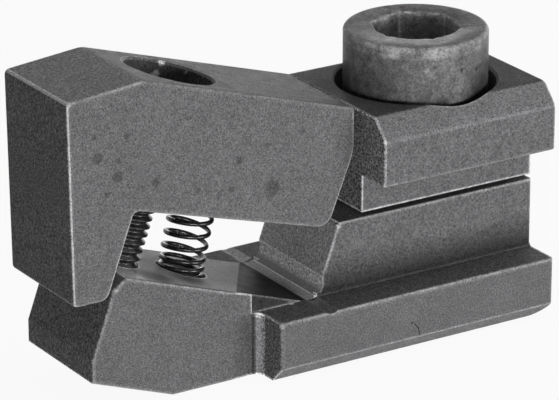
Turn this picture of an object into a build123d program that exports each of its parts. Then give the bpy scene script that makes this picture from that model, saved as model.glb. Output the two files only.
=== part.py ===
"""Low profile edge clamp for a T-slot: base, sliding jaw with its screw and spring, clamp plate with its screw.

Millimetres. X runs along the slot with the clamping face at -X, Z is up, and the origin lies on the axis of the
clamp screw at the underside of the base.
"""

from build123d import *
import math
import os

os.makedirs("parts", exist_ok=True)

# Driving directions
slide_lean = 20.0           # from upright: jaw travel, jaw screw, block front and web face
ramp_slope = 18.9           # fall of the block's top towards the web
arm_slope = 16.85           # fall of the arm's top towards the clamp plate
belly_slope = 16.05         # fall of the arm's underside
arm_end_lean = 17.6         # from upright: the lower part of the arm's end

# Base: flange under the table's lips
flange_left = -27.5
flange_right = 12.7
flange_width = 25.0
flange_height = 8.0
flange_chamfer = 2.0
flange_toe_radius = 2.4
flange_edge_radius = 0.45

# Base: web under the clamp plate
web_width = 14.8
web_top = 17.0
web_foot_x = -19.2
web_edge_radius = 0.25
foot_radius = 0.35          # hollow corner where the side walls stand on the flange

# Base: block under the jaw
block_width = 15.9
block_end_x = -28.6
block_peak_x = -46.1
block_peak_z = 16.43
block_brow_z = 15.07
block_front_x = -49.43
block_front_z = 10.94
block_toe_z = 6.8
block_bevel_z = 4.0
block_bevel_x = -39.85
block_edge_radius = 0.35
runout_radius = 12.8
runout_depth = 0.4
corner_web = 1.3            # rounded corner between the block's side and the flange's end
join_overlap = 1.0          # how far one solid runs into the next where they are joined

# Base: shallow groove across the flange where the ramp meets the web
groove_x = -20.15
groove_width = 1.8
groove_depth = 0.22

# Jaw
jaw_width = 15.1
jaw_foot_z = 13.95
jaw_face_foot_x = -53.1
jaw_face_top_x = -53.55
jaw_face_top_z = 39.35
jaw_apex_x = -43.2
jaw_apex_z = 40.33
arm_end_x = -13.87
arm_end_kink_z = 25.9
arm_end_low_x = -17.18
arm_end_low_z = 17.98
belly_x = -28.82
belly_z = 19.87
jaw_guide_clearance = 0.11
jaw_edge_radius = 0.4
jaw_brow_radius = 0.7
jaw_apex_radius = 3.0
jaw_heel_radius = 1.5
jaw_crook_radius = 0.8
arm_heel_radius = 1.9
arm_kink_radius = 6.0
arm_top_radius = 0.4

# Jaw screw, M6 x 25 with a socket head
jaw_bore_x = -35.43
jaw_screw_offset = 0.4      # how far the screw stands off its counterbore's middle
jaw_head_radius = 5.0
jaw_head_height = 6.0
jaw_head_depth = 2.2
jaw_screw_length = 25.0
jaw_shank_radius = 2.95
jaw_hex_flats = 5.0
jaw_hex_depth = 3.0
jaw_counterbore_radius = 5.55
jaw_clearance_radius = 3.3
jaw_rim_chamfer = 0.25

# Clamp plate
plate_length = 25.25
plate_shift = 0.175         # how far the plate's middle stands from the screw's axis
neck_width = 13.9
neck_setback = 0.05         # how far the neck's end stands behind the cap's
neck_bottom = 17.5
cap_width = 24.0
cap_bottom = 22.2
cap_top = 30.6
cap_chamfer_width = 2.3
cap_chamfer_height = 2.5
cap_foot_radius = 0.4
cap_shoulder_radius = 1.6
cap_end_radius = 0.2
plate_counterbore_radius = 10.05
plate_seat_z = 25.35
plate_clearance_radius = 6.2
plate_rim_chamfer = 0.3

# Clamp screw, M12 x 25 with a socket head
clamp_head_radius = 9.0
clamp_head_height = 12.0
clamp_screw_length = 25.0
clamp_shank_radius = 5.9
clamp_hex_flats = 10.0
clamp_hex_depth = 6.0
clamp_head_edge = 0.6
hex_turn = 17.0             # how far the clamp screw's socket stands turned

# Both screws
thread_clearance = 0.03
screw_tip_chamfer = 0.8
socket_mouth = 1.085        # how much wider the socket's mouth is than its flats

# Return spring
spring_lean = 14.3
spring_x = -33.25
spring_z = 15.23
spring_floor_z = 11.4
spring_roof_z = 24.2
spring_mean_radius = 2.65
spring_wire_radius = 0.3
spring_turns = 8
spring_pocket_radius = 3.15

# Lengths that follow
slide_tan = math.tan(math.radians(slide_lean))
ramp_tan = math.tan(math.radians(ramp_slope))
arm_tan = math.tan(math.radians(arm_slope))
belly_tan = math.tan(math.radians(belly_slope))
end_tan = math.tan(math.radians(arm_end_lean))
reach = 60.0                # longer than any cut has to be


def front_x(height):
    """Where the block's slanted front stands at a height."""
    return block_front_x + (height - block_front_z) * slide_tan


def ramp_z(x):
    """Height of the block's falling top at x."""
    return block_peak_z - (x - block_peak_x) * ramp_tan


def arm_top_z(x):
    """Height of the arm's falling top at x."""
    return jaw_apex_z - (x - jaw_apex_x) * arm_tan


def belly_line_z(x):
    """Height of the arm's underside at x."""
    return belly_z - (x - belly_x) * belly_tan


def leaning_plane(x, z, lean):
    """A plane at (x, z) on the middle of the clamp whose normal leans from upright towards +X."""
    normal = (math.sin(math.radians(lean)), 0, math.cos(math.radians(lean)))
    return Plane(origin=(x, 0, z), x_dir=(0, 1, 0), z_dir=normal)


def socket_screw(plane, head_radius, head_height, length, shank_radius, flats, hex_depth, edge, turn):
    """A socket head screw standing on its seat plane, head above and shank below."""
    with BuildPart() as screw:
        with BuildSketch(plane):
            Circle(head_radius)
        extrude(amount=head_height)
        fillet(screw.edges().filter_by(GeomType.CIRCLE).sort_by(Axis(plane.origin, plane.z_dir))[-1], edge)
        with BuildSketch(plane):
            Circle(shank_radius)
        extrude(amount=-length)
        chamfer(screw.edges().filter_by(GeomType.CIRCLE).sort_by(Axis(plane.origin, plane.z_dir))[0],
                screw_tip_chamfer)
        with BuildSketch(plane.offset(head_height)):
            RegularPolygon(flats / 2, 6, major_radius=False, rotation=turn)
        extrude(amount=-hex_depth, mode=Mode.SUBTRACT)
        mouth = flats / 2 * socket_mouth
        lead_in = mouth - flats / 2
        with Locations(plane.offset(head_height - lead_in / 2)):
            Cone(flats / 2, mouth, lead_in, mode=Mode.SUBTRACT)
    return screw.part


groove_radius = (groove_width ** 2 / 4 + groove_depth ** 2) / (2 * groove_depth)
ramp_foot_x = block_peak_x + (block_peak_z - flange_height) / ramp_tan
web_top_x = web_foot_x + (web_top - flange_height) * slide_tan
plate_left = plate_shift - plate_length / 2
neck_left = plate_left + neck_setback

jaw_bore_plane = leaning_plane(jaw_bore_x, arm_top_z(jaw_bore_x), slide_lean).offset(
    -(jaw_head_depth + jaw_head_height))
jaw_seat_plane = leaning_plane(
    jaw_bore_plane.origin.X + jaw_screw_offset * math.cos(math.radians(slide_lean)),
    jaw_bore_plane.origin.Z - jaw_screw_offset * math.sin(math.radians(slide_lean)), slide_lean)
spring_run = (spring_roof_z - spring_floor_z) / math.cos(math.radians(spring_lean))
spring_floor_x = spring_x - (spring_z - spring_floor_z) * math.tan(math.radians(spring_lean))
spring_plane = leaning_plane(spring_floor_x, spring_floor_z, spring_lean)

# Base
with BuildPart() as base:
    # Block, with its slanted front and falling top
    with BuildSketch(Plane.XZ):
        with BuildLine():
            Polyline(
                (front_x(block_toe_z), block_bevel_z),
                (front_x(block_toe_z), block_toe_z),
                (front_x(block_brow_z), block_brow_z),
                (block_peak_x, block_peak_z),
                (block_end_x, ramp_z(block_end_x)),
                (block_end_x, 0),
                (block_bevel_x, 0),
                close=True,
            )
        make_face()
    extrude(amount=block_width / 2, both=True)
    block_rim = base.edges().filter_by(lambda e: abs(abs(e.center().Y) - block_width / 2) < 0.01)
    fillet(block_rim.filter_by(lambda e: e.center().X < block_end_x - 0.1), block_edge_radius)
    # Shallow run-out of the cutter on both sides of the block
    runout_y = block_width / 2 - runout_depth + runout_radius
    with BuildSketch(Plane.XY):
        with Locations((block_end_x, runout_y), (block_end_x, -runout_y)):
            Circle(runout_radius)
    extrude(amount=reach, mode=Mode.SUBTRACT)
    # Flange with its bottom chamfers and rounded toe
    half = flange_width / 2
    with BuildSketch(Plane.YZ.offset(flange_left)):
        with BuildLine():
            Polyline(
                (-half, flange_height),
                (half, flange_height),
                (half, flange_chamfer),
                (half - flange_chamfer, 0),
                (-half + flange_chamfer, 0),
                (-half, flange_chamfer),
                close=True,
            )
        make_face()
    extrude(amount=flange_right - flange_left)
    toe = base.edges().filter_by(lambda e: e.center().X > flange_right - 0.01 and e.center().Z < 0.01)
    fillet(toe, flange_toe_radius)
    rim = base.edges().filter_by(
        lambda e: e.center().X > block_end_x + 0.1 and abs(e.center().Y) > half - 0.01)
    fillet(rim.filter_by(lambda e: e.center().Z > flange_chamfer + 0.1), flange_edge_radius)
    # Web, joined to the block, with the groove across the whole flange
    with BuildSketch(Plane.XZ):
        with BuildLine():
            Polyline(
                (block_bevel_x, 0),
                (block_bevel_x, ramp_z(block_bevel_x)),
                (ramp_foot_x, flange_height),
                (web_foot_x, flange_height),
                (web_top_x, web_top),
                (flange_right, web_top),
                (flange_right, flange_height / 2),
                (-flange_right, flange_height / 2),
                (-flange_right, 0),
                close=True,
            )
        make_face()
    extrude(amount=web_width / 2, both=True)
    with BuildSketch(Plane.XZ):
        with Locations((groove_x, flange_height - groove_depth + groove_radius)):
            Circle(groove_radius)
    extrude(amount=reach, both=True, mode=Mode.SUBTRACT)
    # Rounded corners between the block's sides and the flange's end
    waist = runout_y - runout_radius
    corner_chord = math.hypot(flange_left - block_end_x, corner_web)
    for side in (1, -1):
        with BuildSketch(Plane.XY):
            with BuildLine():
                Polyline(
                    (flange_left, side * (waist + corner_web)),
                    (flange_left, side * (waist - join_overlap)),
                    (block_end_x, side * (waist - join_overlap)),
                    (block_end_x, side * waist),
                )
                RadiusArc((block_end_x, side * waist), (flange_left, side * (waist + corner_web)),
                          -side * corner_chord)
            make_face()
        extrude(amount=flange_height)
    web_rim = base.edges().filter_by(
        lambda e: abs(abs(e.center().Y) - web_width / 2) < 0.01 and e.center().Z > flange_height + join_overlap
        and e.center().X > web_foot_x)
    fillet(web_rim, web_edge_radius)
    # Hollow corners at the foot of the side walls, beside the ramp and beside the web
    wall = web_width / 2
    ramp_end_x = ramp_foot_x - foot_radius / ramp_tan
    wall_start_x = web_foot_x + foot_radius * slide_tan
    for start_x, end_x in ((flange_left, ramp_end_x), (wall_start_x, flange_right)):
        with BuildSketch(Plane.YZ.offset(start_x)):
            for side in (1, -1):
                with BuildLine():
                    Polyline(
                        (side * wall, flange_height + foot_radius),
                        (side * (wall - join_overlap), flange_height + foot_radius),
                        (side * (wall - join_overlap), flange_height - join_overlap),
                        (side * (wall + foot_radius), flange_height - join_overlap),
                        (side * (wall + foot_radius), flange_height),
                    )
                    RadiusArc((side * (wall + foot_radius), flange_height),
                              (side * wall, flange_height + foot_radius), side * foot_radius)
                make_face()
        extrude(amount=end_x - start_x)
    # Tapped holes and the spring's pocket
    with BuildSketch(Plane.XY):
        Circle(clamp_shank_radius + thread_clearance)
    extrude(amount=web_top, mode=Mode.SUBTRACT)
    with BuildSketch(jaw_seat_plane):
        Circle(jaw_shank_radius + thread_clearance)
    extrude(amount=-reach, mode=Mode.SUBTRACT)
    with BuildSketch(spring_plane):
        Circle(spring_pocket_radius)
    extrude(amount=reach, mode=Mode.SUBTRACT)
base.part.label = "base"
export_step(base.part, "parts/base.step")

# Jaw
heel_x = front_x(jaw_foot_z) - jaw_guide_clearance
crook_z = (belly_z + (belly_x + jaw_guide_clearance - block_front_x) * belly_tan
           + block_front_z * slide_tan * belly_tan) / (1 + slide_tan * belly_tan)
crook_x = front_x(crook_z) - jaw_guide_clearance
end_foot_z = (belly_line_z(arm_end_low_x) + arm_end_low_z * end_tan * belly_tan) / (
    1 + end_tan * belly_tan)
end_foot_x = arm_end_low_x - (arm_end_low_z - end_foot_z) * end_tan
kink_x = arm_end_low_x + (arm_end_kink_z - arm_end_low_z) * end_tan
with BuildPart() as jaw:
    with BuildSketch(Plane.XZ):
        with BuildLine():
            FilletPolyline(
                (jaw_face_foot_x, jaw_foot_z),
                (jaw_face_top_x, jaw_face_top_z),
                (jaw_apex_x, jaw_apex_z),
                (arm_end_x, arm_top_z(arm_end_x)),
                (arm_end_x, arm_end_kink_z),
                (end_foot_x, end_foot_z),
                (crook_x, crook_z),
                (heel_x, jaw_foot_z),
                radius=(jaw_brow_radius, jaw_brow_radius, jaw_apex_radius, arm_top_radius,
                        arm_kink_radius, arm_heel_radius, jaw_crook_radius, jaw_heel_radius),
                close=True,
            )
        make_face()
    extrude(amount=jaw_width / 2, both=True)
    jaw_rim = jaw.edges().filter_by(lambda e: abs(abs(e.center().Y) - jaw_width / 2) < 0.01)
    fillet(jaw_rim, jaw_edge_radius)
    with BuildSketch(jaw_bore_plane):
        Circle(jaw_counterbore_radius)
    extrude(amount=reach, mode=Mode.SUBTRACT)
    hole_rim = jaw.edges().filter_by(GeomType.ELLIPSE).sort_by(Axis.Z)[-1]
    chamfer(hole_rim, jaw_rim_chamfer)
    with BuildSketch(jaw_seat_plane):
        Circle(jaw_clearance_radius)
    extrude(amount=-reach, mode=Mode.SUBTRACT)
    with BuildSketch(spring_plane):
        Circle(spring_pocket_radius)
    extrude(amount=spring_run, mode=Mode.SUBTRACT)
jaw.part.label = "jaw"
export_step(jaw.part, "parts/jaw.step")

# Jaw screw
jaw_screw = socket_screw(jaw_seat_plane, jaw_head_radius, jaw_head_height, jaw_screw_length,
                         jaw_shank_radius, jaw_hex_flats, jaw_hex_depth, clamp_head_edge, 0)
jaw_screw.label = "jaw_screw"
export_step(jaw_screw, "parts/jaw_screw.step")

# Clamp screw
clamp_screw = socket_screw(Plane.XY.offset(plate_seat_z), clamp_head_radius, clamp_head_height,
                           clamp_screw_length, clamp_shank_radius, clamp_hex_flats, clamp_hex_depth,
                           clamp_head_edge, hex_turn)
clamp_screw.label = "clamp_screw"
export_step(clamp_screw, "parts/clamp_screw.step")

# Clamp plate
with BuildPart() as clamp_plate:
    cap_half = cap_width / 2
    with BuildSketch(Plane.YZ.offset(plate_left)):
        with BuildLine():
            FilletPolyline(
                (-cap_half, cap_bottom),
                (-cap_half, cap_top - cap_chamfer_height),
                (-cap_half + cap_chamfer_width, cap_top),
                (cap_half - cap_chamfer_width, cap_top),
                (cap_half, cap_top - cap_chamfer_height),
                (cap_half, cap_bottom),
                radius=(cap_foot_radius, cap_shoulder_radius, cap_shoulder_radius, cap_shoulder_radius,
                        cap_shoulder_radius, cap_foot_radius),
                close=True,
            )
        make_face()
    extrude(amount=plate_length)
    fillet(clamp_plate.faces().sort_by(Axis.X)[0].edges() + clamp_plate.faces().sort_by(Axis.X)[-1].edges(),
           cap_end_radius)
    with BuildSketch(Plane.YZ.offset(neck_left)):
        with Locations((0, (neck_bottom + cap_bottom + join_overlap) / 2)):
            Rectangle(neck_width, cap_bottom + join_overlap - neck_bottom)
    extrude(amount=plate_left + plate_length - neck_left)
    with BuildSketch(Plane.XY.offset(plate_seat_z)):
        Circle(plate_counterbore_radius)
    extrude(amount=reach, mode=Mode.SUBTRACT)
    bore_rim = clamp_plate.edges().filter_by(GeomType.CIRCLE).filter_by(
        lambda e: abs(e.radius - plate_counterbore_radius) < 0.01).sort_by(Axis.Z)[-1]
    chamfer(bore_rim, plate_rim_chamfer)
    with BuildSketch(Plane.XY):
        Circle(plate_clearance_radius)
    extrude(amount=reach, mode=Mode.SUBTRACT)
clamp_plate.part.label = "clamp_plate"
export_step(clamp_plate.part, "parts/clamp_plate.step")

# Return spring
with BuildPart() as return_spring:
    pitch = (spring_run - 2 * spring_wire_radius) / spring_turns
    with BuildLine():
        coil = Helix(pitch=pitch, height=pitch * spring_turns, radius=spring_mean_radius,
                     center=spring_plane.offset(spring_wire_radius).origin, direction=spring_plane.z_dir)
    with BuildSketch(Plane(origin=coil @ 0, z_dir=coil % 0)):
        Circle(spring_wire_radius)
    sweep(path=coil, is_frenet=True)
return_spring.part.label = "return_spring"
export_step(return_spring.part, "parts/return_spring.step")
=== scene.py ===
"""Looks for the low profile edge clamp: blackened steel, real threads, a coil spring, and a plain studio."""

import math

import bmesh
import bpy
from mathutils import Matrix, Vector


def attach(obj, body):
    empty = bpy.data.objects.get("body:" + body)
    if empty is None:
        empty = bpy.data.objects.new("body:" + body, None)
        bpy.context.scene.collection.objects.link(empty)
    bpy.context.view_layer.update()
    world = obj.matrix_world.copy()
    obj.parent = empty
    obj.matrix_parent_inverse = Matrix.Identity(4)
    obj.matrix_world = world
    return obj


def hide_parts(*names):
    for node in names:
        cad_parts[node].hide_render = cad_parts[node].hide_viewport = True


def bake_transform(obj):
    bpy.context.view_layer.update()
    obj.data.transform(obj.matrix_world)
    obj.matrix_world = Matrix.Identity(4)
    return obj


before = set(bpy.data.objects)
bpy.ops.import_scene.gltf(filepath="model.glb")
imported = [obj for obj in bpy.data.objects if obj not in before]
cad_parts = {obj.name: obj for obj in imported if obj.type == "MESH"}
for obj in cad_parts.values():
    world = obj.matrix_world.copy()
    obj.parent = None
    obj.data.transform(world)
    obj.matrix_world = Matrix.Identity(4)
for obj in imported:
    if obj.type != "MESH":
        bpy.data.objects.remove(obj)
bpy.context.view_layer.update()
MM = 0.001

bl_info = {
    "name": "Low profile edge clamp",
    "version": (1, 0, 0),
    "blender": (4, 5, 0),
    "location": "3D View > Sidebar > Edge clamp",
    "description": "Blackens the edge clamp's steel, cuts its threads, winds its spring and lights it",
    "category": "Object",
}


class ClampFinish(bpy.types.PropertyGroup):
    """Colours and surface values of the blackened steel."""

    steel_colour: bpy.props.FloatVectorProperty(
        name="Steel colour", description="Black oxide on the machined pieces",
        default=(0.111, 0.110, 0.113), size=3, subtype="COLOR", min=0.0, max=1.0)
    # The edge colour serves both rubbed edges and painted edge highlights
    edge_colour: bpy.props.FloatVectorProperty(
        name="Edge colour", description="Edges brighter from rubbing and painted highlights",
        default=(0.50, 0.50, 0.505), size=3, subtype="COLOR", min=0.0, max=1.0)
    screw_colour: bpy.props.FloatVectorProperty(
        name="Screw colour", description="Black oxide on the screws",
        default=(0.133, 0.132, 0.134), size=3, subtype="COLOR", min=0.0, max=1.0)
    wire_colour: bpy.props.FloatVectorProperty(
        name="Wire colour", description="Blackened spring wire",
        default=(0.012, 0.012, 0.013), size=3, subtype="COLOR", min=0.0, max=1.0)


class ScrewThreads(bpy.types.PropertyGroup):
    """Places and thread sizes of the two screws."""

    jaw_seat: bpy.props.FloatVectorProperty(
        name="Jaw screw seat", description="Middle of the seat under the jaw screw's head",
        default=(-37.858 * MM, 0.0, 30.135 * MM), size=3, subtype="XYZ_LENGTH")
    jaw_lean: bpy.props.FloatProperty(
        name="Jaw screw lean", description="From upright, towards the clamp plate",
        default=math.radians(20.0), subtype="ANGLE")
    jaw_length: bpy.props.FloatProperty(
        name="Jaw screw length", description="Seat to tip", default=25.0 * MM, unit="LENGTH")
    jaw_crest: bpy.props.FloatProperty(
        name="Jaw screw crest", description="Radius over the thread", default=2.94 * MM, unit="LENGTH")
    jaw_root: bpy.props.FloatProperty(
        name="Jaw screw root", description="Radius at the bottom of the thread",
        default=2.4 * MM, unit="LENGTH")
    jaw_pitch: bpy.props.FloatProperty(
        name="Jaw screw pitch", description="Rise of the thread in one turn",
        default=1.0 * MM, unit="LENGTH")
    jaw_start: bpy.props.FloatProperty(
        name="Jaw screw start", description="How far the thread is turned at rest",
        default=0.0, subtype="ANGLE")
    clamp_seat: bpy.props.FloatVectorProperty(
        name="Clamp screw seat", description="Middle of the seat under the clamp screw's head",
        default=(0.0, 0.0, 25.35 * MM), size=3, subtype="XYZ_LENGTH")
    clamp_length: bpy.props.FloatProperty(
        name="Clamp screw length", description="Seat to tip", default=25.0 * MM, unit="LENGTH")
    clamp_crest: bpy.props.FloatProperty(
        name="Clamp screw crest", description="Radius over the thread", default=5.9 * MM, unit="LENGTH")
    clamp_root: bpy.props.FloatProperty(
        name="Clamp screw root", description="Radius at the bottom of the thread",
        default=4.95 * MM, unit="LENGTH")
    clamp_pitch: bpy.props.FloatProperty(
        name="Clamp screw pitch", description="Rise of the thread in one turn",
        default=1.75 * MM, unit="LENGTH")
    tip_chamfer: bpy.props.FloatProperty(
        name="Tip chamfer", description="How far the thread tapers at the tip",
        default=0.8 * MM, unit="LENGTH")


class SpringSize(bpy.types.PropertyGroup):
    """Sizes of the return spring."""

    foot: bpy.props.FloatVectorProperty(
        name="Foot", description="Middle of the spring's lower end",
        default=(-34.226 * MM, 0.0, 11.4 * MM), size=3, subtype="XYZ_LENGTH")
    lean: bpy.props.FloatProperty(
        name="Lean", description="From upright, towards the clamp plate",
        default=math.radians(14.3), subtype="ANGLE")
    length: bpy.props.FloatProperty(
        name="Length", description="End to end at rest", default=13.209 * MM, unit="LENGTH")
    mean_radius: bpy.props.FloatProperty(
        name="Mean radius", description="From the axis to the middle of the wire",
        default=2.61 * MM, unit="LENGTH")
    wire_radius: bpy.props.FloatProperty(
        name="Wire radius", description="Half the wire's thickness", default=0.29 * MM, unit="LENGTH")
    closed_pitch: bpy.props.FloatProperty(
        name="Closed pitch", description="Rise of a turn at the closed ends",
        default=0.94 * MM, unit="LENGTH")
    open_turns: bpy.props.FloatProperty(
        name="Open turns", description="Turns between the closed ends", default=4.87, min=2.0)
    start: bpy.props.FloatProperty(
        name="Start", description="Where the wire begins round the axis",
        default=math.radians(151.0), subtype="ANGLE")
    bow: bpy.props.FloatProperty(
        name="Bow", description="How far the middle of the spring stands off the straight line",
        default=0.25 * MM, unit="LENGTH")


def set_inputs(node, values):
    """Gives constants to a node's sockets by name."""
    for name, value in values.items():
        node.inputs[name].default_value = value


# Most values of a noise lie in this span
NOISE_SPAN = (0.3, 0.7)

# Noise in the steel's tone and wear: cells to the metre, detail, roughness
CLOUDS = (160.0, 4.0, 0.6)
PATCHES = (900.0, 4.0, 0.7)
WEAR = (700.0, 3.0, 0.7)
SHEEN = (600.0, 4.0, 0.6)
HEAD_RUBBING = (500.0, 3.0, 0.6)
RAGGED_EDGE = (1600.0, 3.0, 0.7)
OIL_PATCHES = (2200.0, 4.0, 0.65)

# Round stains: cells to the metre, largest radius as a share of a cell, how much they darken
STAINS = ((260.0, 0.20, 0.16), (620.0, 0.20, 0.40), (1500.0, 0.16, 0.60))

# Zones of painted light and shade on the machined pieces: name, the way their faces look, limits, and the
# factor on the tone. Limits are in mm along the slot, aside from its middle and in height, each as low, high
# and softness.
CAP = {"along": (-12.6, 13.0, 0.05), "height": (27.0, 32.0, 1.0)}
OPEN_ZONES = (
    ("Clamping face", "facing", {"along": (-56.0, -52.6, 0.3)}, 0.86),
    ("Jaw's brow", "upward", {"along": (-56.0, -43.3, 0.4)}, 1.85),
    ("Arm's top", "upward", {"along": (-43.3, -12.7, 0.2), "height": (25.0, 45.0, 1.0)}, 0.80),
    ("Dark line beside the arm's rim", "upward",
     {"along": (-42.5, -14.0, 0.2), "aside": (6.86, 7.06, 0.04), "height": (30.9, 45.0, 0.1)}, 0.60),
    ("Cap's top", "level", CAP, 0.55),
    ("Cap's upper crease", "upper crease", CAP, 1.25),
    ("Cap's lower crease", "lower crease", CAP, 1.40),
    ("Cap's bevel", "sloping", {"aside": (9.6, 13.0, 0.2), "height": (26.0, 31.0, 0.2)}, 1.22),
    ("Flange's lower bevel and cap's underside", "underneath", {"aside": (10.3, 13.0, 0.1)}, 1.38),
    ("Flange's end beside the block", "facing",
     {"along": (-28.4, -20.0, 0.2), "aside": (7.95, 13.0, 0.2), "height": (-1.0, 8.05, 0.1)}, 0.6),
)
# Painted light and shade under the arm, in the jaw's hole and low on the base
GAP = {"along": (-46.0, -14.0, 1.0), "aside": (-1.0, 7.30, 0.08), "height": (0.0, 16.2, 0.7)}
BORE = {"along": (-41.5, -29.5, 0.1), "aside": (-1.0, 5.56, 0.05), "height": (30.0, 38.6, 0.1)}
LOW_ZONES = (
    ("Round foot of the web's face", None,
     {"along": (-19.2, -17.9, 0.05), "aside": (-1.0, 7.3, 0.08), "height": (8.02, 10.5, 0.1)}, 1.45),
    ("Shaded corner of the block's side above the flange", None,
     {"along": (-28.55, -19.6, 0.05), "aside": (7.2, 8.1, 0.1), "height": (8.15, 12.0, 0.1)}, 0.3),
    ("Painted shadow line beside the corner strip", None,
     {"along": (-28.60, -28.34, 0.05), "aside": (7.45, 12.0, 0.1), "height": (-1.0, 8.0, 0.15)}, 0.45),
    ("Painted shade in the jaw's hole", None, BORE, 0.65),
)

# Limits of single zones: painted light and shade, and less edge highlight at the web's foot
SLOPE_LENGTH = (-46.0, -20.6, 0.1)
GROOVE = {"along": (-20.55, -19.2, 0.12), "height": (7.6, 8.02, 0.05)}
LIT_CORNER_STRIP = {"along": (-28.16, -27.52, 0.03), "aside": (7.62, 12.0, 0.1), "height": (-1.0, 8.0, 0.15)}
WEB_SIDES = {"along": (-20.0, 20.0, 1.0), "aside": (7.35, 7.6, 0.2)}
WEB_FOOT = {"along": (-21.2, -17.5, 0.05), "height": (7.6, 10.9, 0.1)}

# Places, most of painted light and shade: their middle, the radius that is full and the one where they end,
# in mm, and the factor on the tone
# Painted shadows of the spring and the jaw screw on the block's slope
SLOPE_PLACES = (((-35.3, -4.6, 12.2), 1.2, 3.0, 0.5), ((-41.0, -5.2, 13.8), 1.5, 3.0, 0.35))
# Painted patches of light on the far wall of the jaw's hole
BORE_PLACES = (((-34.2, 5.2, 35.8), 0.70, 1.10, 9.0), ((-33.4, 5.1, 37.1), 0.50, 0.95, 8.0),
               ((-31.2, 3.0, 36.1), 0.50, 0.80, 7.0))
# On the clamp screw's head: painted shadow at its foot, painted shade at its sides, painted glints and
# reflected light, and two small dark specks
HEAD_PLACES = (((-8.7, -2.3, 30.5), 2.0, 4.2, 0.80), ((6.1, -6.6, 30.5), 2.8, 6.4, 0.42),
               ((-7.03, -5.6, 36.7), 0.3, 1.1, 2.4), ((4.5, -8.0, 36.8), 2.0, 5.5, 0.82),
               ((-3.9, -8.1, 34.5), 0.15, 0.45, 1.7), ((0.68, -8.98, 34.0), 0.12, 0.35, 0.35),
               ((3.3, -8.4, 33.5), 0.12, 0.35, 0.35), ((3.5, -8.3, 29.6), 1.0, 3.6, 0.50),
               ((-2.2, -8.8, 29.8), 0.5, 1.6, 0.5), ((-8.9, 1.6, 34.5), 1.2, 3.5, 1.5))

# Spots on the jaw's near side, and the factor on their tone: place along the slot, height and radius in mm
SPOT_FACTOR = 0.64
JAW_SPOTS = ((-49.5, 32.0, 0.74), (-41.8, 27.5, 0.56), (-36.0, 25.4, 0.37), (-31.4, 24.5, 0.43),
             (-25.7, 23.5, 1.11), (-50.0, 34.7, 0.37), (-45.6, 34.0, 0.43), (-46.9, 31.2, 0.37),
             (-46.9, 29.2, 0.74), (-48.3, 27.3, 0.43), (-30.3, 27.9, 0.49), (-21.2, 29.9, 0.31),
             (-26.3, 29.1, 0.31), (-33.1, 24.0, 0.25))

# Corners that get a painted highlight, in mm, and how bright
CORNER_SHINE = 2.2
BRIGHT_CORNERS = ((-16.08, -7.3, 16.59), (-19.26, -7.35, 8.13), (-27.41, -12.4, 7.65), (-23.03, -7.6, 8.13),
                  (-12.49, -12.0, 28.07), (-53.2, -7.4, 39.3), (-47.7, -7.8, 15.3), (-47.3, -7.8, 15.8),
                  (-46.8, -7.8, 16.1))

# Scratch on the flange's near side: a piece of a ring round its middle, and a dot
SCRATCH_FACTOR = 0.15
HOOK_MIDDLE = (-9.106, 0.0, 2.376)
HOOK_RING = (1.60, 1.67, 0.06)
HOOK_LIMITS = {"along": (-8.15, -7.0, 0.05), "height": (2.15, 4.0, 0.05)}
DOT_MIDDLE = (-8.566, 0.0, 4.009)


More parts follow.
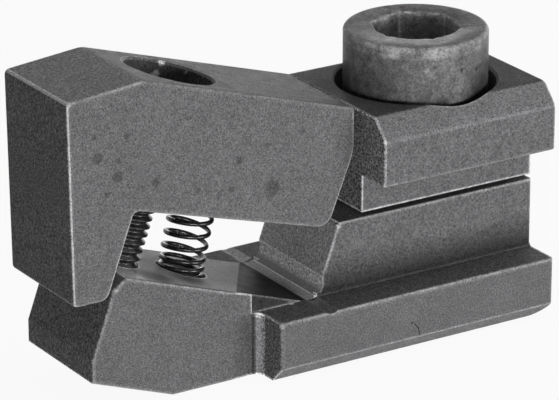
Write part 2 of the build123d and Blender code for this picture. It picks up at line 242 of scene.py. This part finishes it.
class Shades:
    """Adds shader nodes to a new material one after the other. Its places and steps are given in mm."""

    def __init__(self, name, specular):
        self.mat = bpy.data.materials.new(name)
        self.mat.use_nodes = True
        self.nodes, self.links = self.mat.node_tree.nodes, self.mat.node_tree.links
        self.shader = self.nodes["Principled BSDF"]
        set_inputs(self.shader, {"Metallic": 0.0, "Specular IOR Level": specular})
        self.coords = self.nodes.new("ShaderNodeTexCoord")
        self.place = self.coords.outputs["Object"]

    def noise(self, scale, detail, rough):
        node = self.nodes.new("ShaderNodeTexNoise")
        set_inputs(node, {"Scale": scale, "Detail": detail, "Roughness": rough})
        self.links.new(self.place, node.inputs["Vector"])
        return node.outputs["Fac"]

    def remap(self, source, low, high, dark=0.0, light=1.0):
        """A value between dark and light, as the source goes from low to high in its own unit."""
        node = self.nodes.new("ShaderNodeMapRange")
        set_inputs(node, {"From Min": low, "From Max": high, "To Min": dark, "To Max": light})
        self.links.new(source, node.inputs["Value"])
        return node.outputs["Result"]

    def rising(self, source, low, high):
        """0 below the low length, 1 above the high one."""
        return self.remap(source, low * MM, high * MM)

    def falling(self, source, low, high):
        """1 below the low length, 0 above the high one."""
        return self.remap(source, low * MM, high * MM, 1.0, 0.0)

    def within(self, source, low, high, soft):
        """1 where the value lies between two lengths, 0 outside, with a soft step."""
        return self.both(self.rising(source, low - soft, low), self.falling(source, high, high + soft))

    def maths(self, operation, *values):
        node = self.nodes.new("ShaderNodeMath")
        node.operation = operation
        for socket, value in zip(node.inputs, values):
            if isinstance(value, float):
                socket.default_value = value
            else:
                self.links.new(value, socket)
        return node.outputs["Value"]

    def vector(self, operation, *values):
        node = self.nodes.new("ShaderNodeVectorMath")
        node.operation = operation
        for socket, value in zip(node.inputs, values):
            if isinstance(value, tuple):
                socket.default_value = value
            else:
                self.links.new(value, socket)
        return node

    def split(self, name):
        node = self.nodes.new("ShaderNodeSeparateXYZ")
        self.links.new(self.coords.outputs[name], node.inputs["Vector"])
        return node.outputs["X"], node.outputs["Y"], node.outputs["Z"]

    def axes(self):
        """How far a point lies along the slot, across it, to either side of its middle, and in height."""
        along, across, height = self.split("Object")
        return {"along": along, "across": across, "aside": self.maths("ABSOLUTE", across), "height": height}

    def inside(self, axes, limits):
        """1 inside the limits of a zone, 0 outside."""
        return self.both(*(self.within(axes[name], *limit) for name, limit in limits.items()))

    def distance(self, place, source=None):
        """How far a point is from a place in mm."""
        return self.vector("DISTANCE", source or self.place, tuple(v * MM for v in place)).outputs["Value"]

    def near(self, place, radius, end, source=None):
        """1 within a radius of a place, 0 where the place ends."""
        return self.falling(self.distance(place, source), radius, end)

    def both(self, first, *others):
        for other in others:
            first = self.maths("MULTIPLY", first, other)
        return first

    def either(self, first, *others):
        for other in others:
            first = self.maths("MAXIMUM", first, other)
        return first

    def stronger(self, tone, mask, factor, label=""):
        """The tone, multiplied by the factor where the mask is 1."""
        gain = self.maths("MULTIPLY_ADD", mask, factor - 1.0, 1.0)
        gain.node.label = label
        return self.maths("MULTIPLY", tone, gain)


def round_stains(shades, tone):
    """Round stains of oil, each of its own size."""
    spread = shades.nodes.new("ShaderNodeTexNoise")
    set_inputs(spread, {"Scale": 900.0, "Detail": 2.0})
    shades.links.new(shades.place, spread.inputs["Vector"])
    wobble = (0.9 * MM,) * 3
    wavy = shades.vector("MULTIPLY_ADD", spread.outputs["Color"], wobble, shades.place).outputs["Vector"]
    for scale, largest, depth in STAINS:
        # A cell's own random colour sets its stain's size, and most cells have none
        cells = shades.nodes.new("ShaderNodeTexVoronoi")
        set_inputs(cells, {"Scale": scale, "Randomness": 1.0})
        shades.links.new(wavy, cells.inputs["Vector"])
        size = shades.remap(cells.outputs["Color"], 0.45, 1.0, -0.12, largest)
        gap = shades.maths("SUBTRACT", cells.outputs["Distance"], size)
        tone = shades.both(tone, shades.remap(gap, -0.04, 0.06, 1.0 - depth, 1.0))
    return tone


def faces_by_look(shades, normal):
    """Masks of the faces that look along the slot, up, at a slant or down, and of the cap's two creases."""
    looks = {
        "facing": shades.remap(shades.maths("ABSOLUTE", normal[0]), 0.80, 0.95),
        "upward": shades.remap(normal[2], 0.80, 0.95),
        "level": shades.remap(normal[2], 0.94, 0.985),
        "sloping": shades.remap(normal[2], 0.45, 0.55),
        "underneath": shades.remap(normal[2], -0.65, -0.50, 1.0, 0.0),
    }
    soft = 0.06
    for name, low, high in (("upper crease", 0.86, 0.93), ("lower crease", 0.22, 0.42)):
        looks[name] = shades.both(shades.remap(normal[2], low - soft, low),
                                  shades.remap(normal[2], high, high + soft, 1.0, 0.0))
    return looks


def tone_zones(shades, tone, zones, axes, looks):
    """The tone, with painted light or shade in each zone."""
    for name, look, limits, factor in zones:
        mask = shades.inside(axes, limits)
        tone = shades.stronger(tone, shades.both(mask, looks[look]) if look else mask, factor, name)
    return tone


def gap_under_the_arm(shades, tone, axes, looks):
    """Painted light inside the gap under the arm and in the groove, and painted shadows on the block's
    slope.
    """
    gap = shades.inside(axes, GAP)
    # Calmer grain
    calm = shades.maths("MULTIPLY", gap, 0.5)
    tone = shades.maths("MULTIPLY_ADD", shades.maths("SUBTRACT", 1.0, tone), calm, tone)
    # Painted light under the arm, on the web's face and on the block's slope
    tone = shades.stronger(tone, gap, 1.6, "Gap under the arm")
    tone = shades.stronger(tone, shades.both(gap, looks["facing"]), 1.6, "Web's face")
    slope = shades.both(looks["sloping"], gap, shades.within(axes["along"], *SLOPE_LENGTH))
    tone = shades.stronger(tone, slope, 2.2, "Block's slope")
    # The painted shadow cast by the web ends at a straight edge that runs slanted across the slope
    slant = -0.652
    darkened = shades.rising(shades.maths("MULTIPLY_ADD", axes["across"], slant, axes["along"]), -26.0, -25.8)
    tone = shades.stronger(tone, shades.both(slope, darkened), 0.04, "Painted shadow of the web on the slope")
    # Painted shadows of the spring and the jaw screw on the slope
    for place, radius, end, factor in SLOPE_PLACES:
        tone = shades.stronger(tone, shades.both(shades.near(place, radius, end), slope), factor)
    # Painted light on the bottom of the groove across the flange, dim at its near end
    groove = shades.both(shades.inside(axes, GROOVE),
                         shades.remap(axes["across"], -10.0 * MM, -7.0 * MM, 0.1, 1.0))
    tone = shades.stronger(tone, groove, 2.6, "Groove")
    far_end = shades.both(groove, shades.rising(axes["across"], 7.2, 7.4))
    return shades.stronger(tone, far_end, 1.8, "Groove's far end")


def spots_and_scratch(shades, tone, axes):
    """Spots on the jaw's near side, and a hooked scratch with its dot on the flange's near side."""
    flat = shades.vector("MULTIPLY", shades.place, (1.0, 0.0, 1.0)).outputs["Vector"]
    jaw_side = shades.within(axes["across"], -7.7, -7.45, 0.05)
    for along, height, radius in JAW_SPOTS:
        spot = shades.near((along, 0.0, height), radius * 0.7, radius * 1.2, flat)
        tone = shades.stronger(tone, shades.both(spot, jaw_side), SPOT_FACTOR)
    hook = shades.both(shades.within(shades.distance(HOOK_MIDDLE, flat), *HOOK_RING),
                       shades.inside(axes, HOOK_LIMITS))
    dot = shades.near(DOT_MIDDLE, 0.10, 0.20, flat)
    scratch = shades.both(shades.either(hook, dot), shades.within(axes["across"], -12.6, -12.4, 0.05))
    return shades.stronger(tone, scratch, SCRATCH_FACTOR, "Scratch")


def painted_light_and_marks(shades, tone, axes, looks):
    """Painted light and shade that the machined pieces get at certain places, and their spots and scratch.
    """
    # Painted shade on the faces that look along the slot, darkest at the clamping end
    lighter = shades.both(looks["facing"], shades.remap(axes["along"], -50.0 * MM, -12.0 * MM, -0.1, 0.6))
    tone = shades.stronger(tone, lighter, 2.0, "Faces along the slot")
    tone = tone_zones(shades, tone, OPEN_ZONES, axes, looks)
    tone = gap_under_the_arm(shades, tone, axes, looks)
    tone = tone_zones(shades, tone, LOW_ZONES, axes, looks)
    # Painted reflection on the strip in the corner between the block and the flange
    strip = shades.both(shades.inside(axes, LIT_CORNER_STRIP),
                        shades.remap(axes["along"], -28.1 * MM, -27.6 * MM, 1.3, 1.7))
    tone = shades.stronger(tone, strip, 2.0, "Painted reflection on the corner strip")
    # Painted shade, darker towards the foot of the web's sides
    web_foot_shade = shades.both(shades.inside(axes, WEB_SIDES), shades.falling(axes["height"], 8.6, 13.0))
    tone = shades.stronger(tone, web_foot_shade, 0.2, "Foot of the web's sides")
    # Painted patches of light with ragged edges on the wall of the jaw's hole
    bore, ragged = shades.inside(axes, BORE), 0.9 * MM
    for place, radius, end, factor in BORE_PLACES:
        away = shades.maths("MULTIPLY_ADD", shades.noise(*RAGGED_EDGE), ragged, shades.distance(place))
        tone = shades.stronger(tone, shades.both(shades.falling(away, radius, end), bore), factor)
    return spots_and_scratch(shades, tone, axes)


def rim_highlights_and_wear(shades, axes, normal):
    """1 in the middle of the rounded edges, which hands and vices rub and which get a painted highlight, and
    more at their corners.
    """
    along, aside, height = axes["along"], axes["aside"], axes["height"]
    sideways = shades.maths("ABSOLUTE", normal[1])
    middle = shades.both(shades.remap(sideways, 0.30, 0.60), shades.remap(sideways, 0.80, 0.95, 1.0, 0.0))
    # Not low on the flange, and not on the cap or in the jaw's hole
    open_side = shades.either(shades.rising(height, 7.4, 7.5), shades.falling(along, -29.0, -28.9))
    not_cap = shades.either(shades.falling(height, 21.5, 21.6), shades.falling(along, -12.7, -12.6))
    not_bore = shades.rising(aside, 6.95, 7.0)
    rims = shades.both(middle, open_side, not_cap, not_bore)
    # Edge between the clamping face and the brow
    forward = shades.both(shades.remap(normal[0], -0.90, -0.75),
                          shades.remap(normal[0], -0.50, -0.30, 1.0, 0.0),
                          shades.falling(along, -52.7, -52.6))
    # Upright edges that turn away from the clamping end
    turned = shades.both(shades.remap(sideways, 0.70, 0.82, 0.0, 1.6),
                         shades.remap(sideways, 0.94, 0.99, 1.0, 0.0), shades.remap(normal[0], 0.1, 0.3),
                         shades.within(aside, 7.0, 7.6, 0.02), shades.falling(along, -14.1, -14.0))
    rims = shades.either(rims, turned, shades.maths("MULTIPLY", forward, 3.0))
    # Painted highlights at single corners
    for place in BRIGHT_CORNERS:
        rims = shades.either(rims, shades.maths("MULTIPLY", shades.near(place, 0.15, 0.5), CORNER_SHINE))
    return rims


def uneven_wear_and_highlights(shades, wear_and_highlight, axes, normal):
    """More wear and painted highlight on the rims, less round the web's foot, in the plate's counterbore and
    on the arm.
    """
    wear_and_highlight = shades.stronger(wear_and_highlight, shades.inside(axes, WEB_FOOT), 0.3, "Web's foot")
    level = shades.vector("MULTIPLY", shades.place, (1.0, 1.0, 0.0)).outputs["Vector"]
    from_axis = shades.vector("LENGTH", level).outputs["Value"]
    counterbore = shades.both(shades.falling(from_axis, 10.6, 10.7),
                              shades.rising(axes["height"], 29.0, 29.1))
    wear_and_highlight = shades.stronger(wear_and_highlight, counterbore, 0.25, "Plate's counterbore")
    wear_and_highlight = shades.either(wear_and_highlight, shades.maths("MULTIPLY", rim_highlights_and_wear(shades, axes, normal), 0.5))
    rim = shades.rising(axes["aside"], 6.95, 7.0)
    arm = shades.both(rim, shades.within(axes["along"], -43.0, -13.2, 0.1),
                      shades.rising(axes["height"], 30.9, 31.0))
    wear_and_highlight = shades.stronger(wear_and_highlight, arm, 0.40, "Arm's upper rim")
    brow = shades.both(rim, shades.rising(axes["height"], 37.0, 37.1),
                       shades.rising(axes["along"], -52.6, -52.2),
                       shades.falling(axes["along"], -51.5, -46.0))
    return shades.stronger(wear_and_highlight, brow, 0.35, "Brow's rim")


def head_wear_light_and_shade(shades, tone, axes):
    """The tones and marks on the clamp screw's head: rubbed under its edge, with painted shade on its top, a
    painted shadow at its foot, and painted light and shade at places.
    """
    height = axes["height"]
    rubbed = shades.both(shades.within(height, 36.1, 37.2, 0.4),
                         shades.remap(shades.noise(*HEAD_RUBBING), 0.35, 0.62, 0.2, 1.0))
    tone = shades.stronger(tone, rubbed, 1.9, "Rubbed band")
    # Painted shade on the head's top
    tone = shades.stronger(tone, shades.rising(height, 37.25, 37.33), 0.85, "Head's top")
    # Painted shadow at the head's foot
    tone = shades.stronger(tone, shades.falling(height, 26.5, 29.5), 0.55, "Head's foot")
    # Painted light and shade at single places, and two small dark specks
    for place, radius, end, factor in HEAD_PLACES:
        tone = shades.stronger(tone, shades.near(place, radius, end), factor)
    return tone


def black_oxide(name, colour, edge_colour, grain, roughness, edge_width, mottling, machined):
    """Blackened steel: mottled tone, fine grain, round stains, brighter edges that are partly rubbed and
    partly painted highlight, and painted light and shade at places.

    The machined pieces also get real spots and a scratch. The clamp screw's head gets a rubbed band.
    """
    shades = Shades(name, 0.05)
    nodes, links = shades.nodes, shades.links
    axes, normal = shades.axes(), shades.split("Normal")
    # Tone: soft clouds, patches and grain
    clouds = shades.remap(shades.noise(*CLOUDS), *NOISE_SPAN, 1.0 - 0.14 * mottling, 1.0 + 0.12 * mottling)
    patches = shades.remap(shades.noise(*PATCHES), *NOISE_SPAN, 1.0 - 0.22 * mottling, 1.0 + 0.20 * mottling)
    sharp = 0.75 if machined else 0.40
    speckle = shades.remap(shades.noise(grain, 3.0, 0.8), *NOISE_SPAN, 1.0 - sharp, 1.0 + sharp)
    tone = round_stains(shades, shades.both(clouds, patches, speckle))
    # Coarser grain, strongest on faces that look along the slot and next on tops
    coarse = shades.remap(shades.noise(grain * 0.75, 2.0, 0.7), *NOISE_SPAN, -0.9, 0.9)
    share, darkest = 0.3, 0.15
    if machined:
        looks = faces_by_look(shades, normal)
        share = shades.either(shades.maths("MULTIPLY", looks["facing"], 1.3),
                              shades.remap(normal[2], 0.85, 0.97, 0.10, 0.60))
    coarse = shades.maths("MAXIMUM", shades.maths("MULTIPLY_ADD", coarse, share, 1.0), darkest)
    tone = shades.both(tone, coarse)
    tone = painted_light_and_marks(shades, tone, axes, looks) if machined else head_wear_light_and_shade(shades, tone, axes)
    # Rubbed edges and painted edge highlights: where rays inside the metal soon meet another face, in
    # patches
    inner = nodes.new("ShaderNodeAmbientOcclusion")
    inner.inside, inner.only_local, inner.samples = True, True, 8
    set_inputs(inner, {"Distance": edge_width})
    wear_and_highlight = shades.remap(inner.outputs["AO"], 0.94, 0.80)
    if machined:
        wear_and_highlight = uneven_wear_and_highlights(shades, wear_and_highlight, axes, normal)
    wear_and_highlight = shades.both(wear_and_highlight, shades.remap(shades.noise(*WEAR), 0.35, 0.60, 0.5, 1.0))
    mix = nodes.new("ShaderNodeMix")
    mix.data_type = "RGBA"
    set_inputs(mix, {"A": (*colour, 1.0), "B": (*edge_colour, 1.0)})
    links.new(wear_and_highlight, mix.inputs["Factor"])
    shade = shades.vector("SCALE", mix.outputs["Result"])
    links.new(tone, shade.inputs["Scale"])
    links.new(shade.outputs["Vector"], shades.shader.inputs["Base Color"])
    links.new(shades.remap(shades.noise(*SHEEN), *NOISE_SPAN, roughness - 0.08, roughness + 0.08),
              shades.shader.inputs["Roughness"])
    bump = nodes.new("ShaderNodeBump")
    set_inputs(bump, {"Strength": 0.35, "Distance": 0.05 * MM})
    links.new(shades.noise(grain * 0.8, 4.0, 0.7), bump.inputs["Height"])
    links.new(bump.outputs["Normal"], shades.shader.inputs["Normal"])
    return shades.mat


def oiled_black(name, colour, smooth, rough):
    """Near black oiled steel with narrow gleams and small dull patches."""
    shades = Shades(name, 0.40)
    patches = shades.noise(*OIL_PATCHES)
    tint = shades.vector("SCALE", tuple(colour))
    shades.links.new(shades.remap(patches, 0.35, 0.68, 0.3, 1.6), tint.inputs["Scale"])
    shades.links.new(tint.outputs["Vector"], shades.shader.inputs["Base Color"])
    shades.links.new(shades.remap(patches, *NOISE_SPAN, smooth, rough), shades.shader.inputs["Roughness"])
    bump = shades.nodes.new("ShaderNodeBump")
    set_inputs(bump, {"Strength": 0.3, "Distance": 0.02 * MM})
    shades.links.new(patches, bump.inputs["Height"])
    shades.links.new(bump.outputs["Normal"], shades.shader.inputs["Normal"])
    return shades.mat


def dress(node, material):
    """Gives a CAD node its material."""
    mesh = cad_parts[node].data
    mesh.materials.clear()
    mesh.materials.append(material)


def finish_piece(bm, name, material, sharp_angle):
    """Turns a finished bmesh into an object at the origin, smooth but for its sharp edges."""
    bmesh.ops.recalc_face_normals(bm, faces=bm.faces)
    mesh = bpy.data.meshes.new(name)
    bm.to_mesh(mesh)
    bm.free()
    mesh.shade_smooth()
    mesh.set_sharp_from_angle(angle=sharp_angle)
    mesh.materials.append(material)
    obj = bpy.data.objects.new(name, mesh)
    bpy.context.scene.collection.objects.link(obj)
    return obj


def cut_flat(bm, height, side):
    """Cuts off what lies above the height, or below it where the side is -1, and closes the cut."""
    cut = bmesh.ops.bisect_plane(bm, geom=bm.verts[:] + bm.edges[:] + bm.faces[:],
                                 plane_co=(0, 0, height), plane_no=(0, 0, side), clear_outer=True)
    rim = [e for e in cut["geom_cut"] if isinstance(e, bmesh.types.BMEdge)]
    bmesh.ops.holes_fill(bm, edges=rim, sides=0)


def thread(bm, bottom, top, pitch, crest, root, start):
    """Adds a thread round Z from bottom to top, closed at both ends."""
    steps = 48      # in one turn
    turns = math.ceil((top - bottom) / pitch) + 2
    first = bottom - pitch
    # Radius at shares of the pitch
    profile = [(root, 0.0), (root, 0.16), (crest, 0.45), (crest, 0.60), (root, 0.89), (root, 1.0)]
    verts = [bm.verts.new((radius, 0.0, first + share * pitch)) for radius, share in profile]
    edges = [bm.edges.new(pair) for pair in zip(verts, verts[1:])]
    bmesh.ops.rotate(bm, verts=verts, cent=(0, 0, 0), matrix=Matrix.Rotation(start, 3, "Z"))
    bmesh.ops.spin(bm, geom=verts + edges, cent=(0, 0, 0), axis=(0, 0, 1), dvec=(0, 0, pitch / steps),
                   angle=math.tau * turns, steps=steps * turns, use_merge=False, use_duplicate=False)
    bmesh.ops.remove_doubles(bm, verts=bm.verts, dist=pitch * 0.002)
    cut_flat(bm, bottom, -1)
    cut_flat(bm, top, 1)


def threaded_screw(node, name, body, material, seat, lean, length, crest, root, pitch, start, chamfer):
    """The CAD screw's own head on a shank with a real thread, in the node's place."""
    placed = Matrix.Translation(seat) @ Matrix.Rotation(lean, 4, "Y")
    into_head, below_seat, merge = 0.5 * MM, 0.05 * MM, 0.002 * MM
    shank = bmesh.new()
    thread(shank, -length, into_head, pitch, crest, root, start)
    # Taper at the tip
    for vert in shank.verts:
        room = crest - chamfer + vert.co.z + length
        reach = math.hypot(vert.co.x, vert.co.y)
        if reach > room:
            vert.co.x *= room / reach
            vert.co.y *= room / reach
    helper = bpy.data.meshes.new("shank")
    shank.to_mesh(helper)
    shank.free()
    bm = bmesh.new()
    bm.from_mesh(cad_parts[node].data)
    bmesh.ops.remove_doubles(bm, verts=bm.verts, dist=merge)
    bmesh.ops.transform(bm, matrix=placed.inverted(), verts=bm.verts)
    cut_flat(bm, -below_seat, -1)
    bm.from_mesh(helper)
    bpy.data.meshes.remove(helper)
    bmesh.ops.transform(bm, matrix=placed, verts=bm.verts)
    screw = finish_piece(bm, name, material, math.radians(32))
    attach(screw, body)
    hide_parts(node)


class CLAMP_OT_steel(bpy.types.Operator):
    """Dress the base, the jaw and the clamp plate in blackened steel"""

    bl_idname = "clamp.steel"
    bl_label = "Blackened steel"

    def execute(self, context):
        finish = context.scene.clamp_finish
        steel = black_oxide("Blackened steel", finish.steel_colour, finish.edge_colour, grain=4800.0,
                            roughness=0.52, edge_width=0.3 * MM, mottling=0.5, machined=True)
        for node in ("base", "jaw", "clamp_plate"):
            dress(node, steel)
        return {"FINISHED"}


class CLAMP_OT_screws(bpy.types.Operator):
    """Cut real threads on both screws and blacken them"""

    bl_idname = "clamp.screws"
    bl_label = "Threaded screws"

    def execute(self, context):
        finish, size = context.scene.clamp_finish, context.scene.clamp_threads
        steel = black_oxide("Blackened screw", finish.screw_colour, finish.edge_colour, grain=4400.0,
                            roughness=0.42, edge_width=0.4 * MM, mottling=1.8, machined=False)
        darkened = oiled_black("Oiled screw", finish.wire_colour, smooth=0.12, rough=0.30)
        threaded_screw("jaw_screw", "jaw_screw_threaded", "jaw_screw", darkened, size.jaw_seat, size.jaw_lean,
                       size.jaw_length, size.jaw_crest, size.jaw_root, size.jaw_pitch, size.jaw_start,
                       size.tip_chamfer)
        threaded_screw("clamp_screw", "clamp_screw_threaded", "clamp_screw", steel, size.clamp_seat, 0.0,
                       size.clamp_length, size.clamp_crest, size.clamp_root, size.clamp_pitch, 0.0,
                       size.tip_chamfer)
        dress("jaw_screw", darkened)
        dress("clamp_screw", steel)
        return {"FINISHED"}


class CLAMP_OT_spring(bpy.types.Operator):
    """Wind the return spring with closed ends, between the block and the arm"""

    bl_idname = "clamp.spring"
    bl_label = "Return spring"

    def execute(self, context):
        size = context.scene.clamp_spring
        wire, closed, steps = size.wire_radius, size.closed_pitch, 48
        # Closed turns at the lower and the upper end, and the turn over which the pitch eases
        closed_turns, ease = (2.0, 1.5), 0.5
        rise = size.length - 2 * wire - sum(closed_turns) * closed
        open_pitch = (rise - ease * closed) / (size.open_turns + ease)
        easy_pitch = (closed + open_pitch) / 2
        bm = bmesh.new()
        ring = bmesh.ops.create_circle(bm, cap_ends=False, segments=14, radius=wire)["verts"]
        bmesh.ops.rotate(bm, verts=ring, cent=(0, 0, 0), matrix=Matrix.Rotation(math.pi / 2, 3, "X"))
        bmesh.ops.translate(bm, verts=ring, vec=(size.mean_radius, 0, wire))
        bmesh.ops.rotate(bm, verts=ring, cent=(0, 0, 0), matrix=Matrix.Rotation(size.start, 3, "Z"))
        wound = ring + bm.edges[:]
        for turns, pitch in ((closed_turns[0], closed), (ease, easy_pitch), (size.open_turns, open_pitch),
                             (ease, easy_pitch), (closed_turns[1], closed)):
            wound = bmesh.ops.spin(bm, geom=wound, cent=(0, 0, 0), axis=(0, 0, 1),
                                   dvec=(0, 0, pitch / steps), angle=math.tau * turns,
                                   steps=round(steps * turns), use_merge=False,
                                   use_duplicate=False)["geom_last"]
        bmesh.ops.holes_fill(bm, edges=[e for e in bm.edges if e.is_boundary], sides=0)
        # Bow, full at the middle
        for vert in bm.verts:
            along = vert.co.z / size.length
            vert.co.x -= 4 * size.bow * along * (1 - along)
        placed = Matrix.Translation(size.foot) @ Matrix.Rotation(size.lean, 4, "Y")
        bmesh.ops.transform(bm, matrix=placed, verts=bm.verts)
        metal = oiled_black("Blackened wire", context.scene.clamp_finish.wire_colour,
                            smooth=0.10, rough=0.22)
        coil = finish_piece(bm, "return_spring_coil", metal, math.radians(50))
        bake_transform(coil)
        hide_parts("return_spring")
        dress("return_spring", metal)
        return {"FINISHED"}


# Strength of the world's light, and of the floor's white where it shows
WORLD_LIGHT = 0.1
FLOOR_WHITE = 0.93

# Lamps: name, degrees round the clamp and above the floor, width and height in metres, watts
LAMPS = (
    ("Front low", -15.0, 3.0, (0.3, 0.1), 2.5),
    ("Right low", 35.0, 3.0, (0.3, 0.1), 1.9),
    ("Right top", 60.0, 60.0, (0.3, 0.3), 0.7),
    ("Right back", 110.0, 28.0, (0.3, 0.3), 0.3),
    ("Back top", 170.0, 60.0, (0.3, 0.3), 0.4),
    ("Back low", 147.0, 4.0, (0.10, 0.06), 0.14),
)
LAMP_DISTANCE = 0.6
LAMP_TARGET = (-20 * MM, 0, 18 * MM)

# The photograph's view: degrees round the clamp and above the floor, distance and target
CAMERA_AZIMUTH = -32.37
CAMERA_ELEVATION = 20.89
CAMERA_DISTANCE = 488.72 * MM
CAMERA_TARGET = (-19.86 * MM, 0, 18.39 * MM)
SENSOR_WIDTH = 36.0
FOCAL_SHARE = 4000.0 / 559.0    # focal length as a share of the sensor's width


def away_from(azimuth, elevation):
    """The way from the clamp to a place at these degrees round it and above the floor."""
    turn, rise = math.radians(azimuth), math.radians(elevation)
    return Vector((math.sin(turn) * math.cos(rise), -math.cos(turn) * math.cos(rise), math.sin(rise)))


def aim(obj, target, away, distance):
    """Puts a lamp or the camera at the distance from the target and turns it to face it."""
    obj.location = Vector(target) + away * distance
    obj.rotation_euler = (-away).to_track_quat("-Z", "Y").to_euler()
    bpy.context.scene.collection.objects.link(obj)


def seen_white(tree, strength):
    """A strength that holds only where the camera looks, in gloss and through glass, and is 0 elsewhere."""
    nodes, links = tree.nodes, tree.links
    path = nodes.new("ShaderNodeLightPath")
    shown = path.outputs["Is Camera Ray"]
    for ray in ("Is Glossy Ray", "Is Transmission Ray"):
        either = nodes.new("ShaderNodeMath")
        either.operation = "MAXIMUM"
        links.new(shown, either.inputs[0])
        links.new(path.outputs[ray], either.inputs[1])
        shown = either.outputs["Value"]
    share = nodes.new("ShaderNodeMath")
    share.operation = "MULTIPLY"
    share.inputs[1].default_value = strength
    links.new(shown, share.inputs[0])
    return share.outputs["Value"]


class CLAMP_OT_studio(bpy.types.Operator):
    """Set up the floor, the lights and the camera"""

    bl_idname = "clamp.studio"
    bl_label = "Studio"

    def execute(self, context):
        scene = context.scene
        scene.view_settings.view_transform = "Standard"
        world = bpy.data.worlds.new("Studio world")
        scene.world = world
        world.use_nodes = True
        tree = world.node_tree
        tree.nodes.clear()
        out = tree.nodes.new("ShaderNodeOutputWorld")
        light = tree.nodes.new("ShaderNodeBackground")
        set_inputs(light, {"Color": (1.0, 1.0, 1.0, 1.0), "Strength": WORLD_LIGHT})
        seen = tree.nodes.new("ShaderNodeBackground")
        set_inputs(seen, {"Color": (1.0, 1.0, 1.0, 1.0), "Strength": 1.0})
        mix = tree.nodes.new("ShaderNodeMixShader")
        tree.links.new(seen_white(tree, 1.0), mix.inputs["Fac"])
        tree.links.new(light.outputs["Background"], mix.inputs[1])
        tree.links.new(seen.outputs["Background"], mix.inputs[2])
        tree.links.new(mix.outputs["Shader"], out.inputs["Surface"])

        paper = bpy.data.materials.new("White floor")
        paper.use_nodes = True
        nodes, links = paper.node_tree.nodes, paper.node_tree.links
        paint = nodes["Principled BSDF"]
        set_inputs(paint, {"Base Color": (0.8, 0.8, 0.8, 1.0), "Roughness": 0.9, "Specular IOR Level": 0.0})
        glow = nodes.new("ShaderNodeEmission")
        set_inputs(glow, {"Color": (1.0, 1.0, 1.0, 1.0), "Strength": 1.0})
        mixed = nodes.new("ShaderNodeMixShader")
        links.new(seen_white(paper.node_tree, FLOOR_WHITE), mixed.inputs["Fac"])
        links.new(paint.outputs["BSDF"], mixed.inputs[1])
        links.new(glow.outputs["Emission"], mixed.inputs[2])
        links.new(mixed.outputs["Shader"], nodes["Material Output"].inputs["Surface"])
        bm = bmesh.new()
        bmesh.ops.create_grid(bm, x_segments=1, y_segments=1, size=3.0)
        mesh = bpy.data.meshes.new("floor")
        bm.to_mesh(mesh)
        bm.free()
        mesh.materials.append(paper)
        floor = bpy.data.objects.new("floor", mesh)
        scene.collection.objects.link(floor)

        for name, azimuth, elevation, size, power in LAMPS:
            data = bpy.data.lights.new(name, "AREA")
            data.shape = "RECTANGLE"
            data.size, data.size_y = size
            data.energy = power
            lamp = bpy.data.objects.new(name, data)
            lamp.visible_camera = False
            aim(lamp, LAMP_TARGET, away_from(azimuth, elevation), LAMP_DISTANCE)

        camera = bpy.data.cameras.new("Camera")
        camera.sensor_width = SENSOR_WIDTH
        camera.lens = SENSOR_WIDTH * FOCAL_SHARE
        camera.clip_start = 0.01
        eye = bpy.data.objects.new("Camera", camera)
        aim(eye, CAMERA_TARGET, away_from(CAMERA_AZIMUTH, CAMERA_ELEVATION), CAMERA_DISTANCE)
        scene.camera = eye
        return {"FINISHED"}


class CLAMP_PT_panel(bpy.types.Panel):
    """Lists the steps that dress the clamp"""

    bl_idname = "CLAMP_PT_panel"
    bl_label = "Edge clamp"
    bl_space_type = "VIEW_3D"
    bl_region_type = "UI"
    bl_category = "Edge clamp"

    def draw(self, context):
        for operator in OPERATORS:
            self.layout.operator(operator.bl_idname)


OPERATORS = (CLAMP_OT_steel, CLAMP_OT_screws, CLAMP_OT_spring, CLAMP_OT_studio)
GROUPS = {"clamp_finish": ClampFinish, "clamp_threads": ScrewThreads, "clamp_spring": SpringSize}


def register():
    for group in GROUPS.values():
        bpy.utils.register_class(group)
    for operator in OPERATORS:
        bpy.utils.register_class(operator)
    bpy.utils.register_class(CLAMP_PT_panel)
    for name, group in GROUPS.items():
        setattr(bpy.types.Scene, name, bpy.props.PointerProperty(type=group))


def unregister():
    for name in GROUPS:
        delattr(bpy.types.Scene, name)
    bpy.utils.unregister_class(CLAMP_PT_panel)
    for operator in reversed(OPERATORS):
        bpy.utils.unregister_class(operator)
    for group in GROUPS.values():
        bpy.utils.unregister_class(group)


def main():
    register()
    bpy.ops.clamp.steel()
    bpy.ops.clamp.screws()
    bpy.ops.clamp.spring()
    bpy.ops.clamp.studio()


if __name__ == "__main__":
    main()
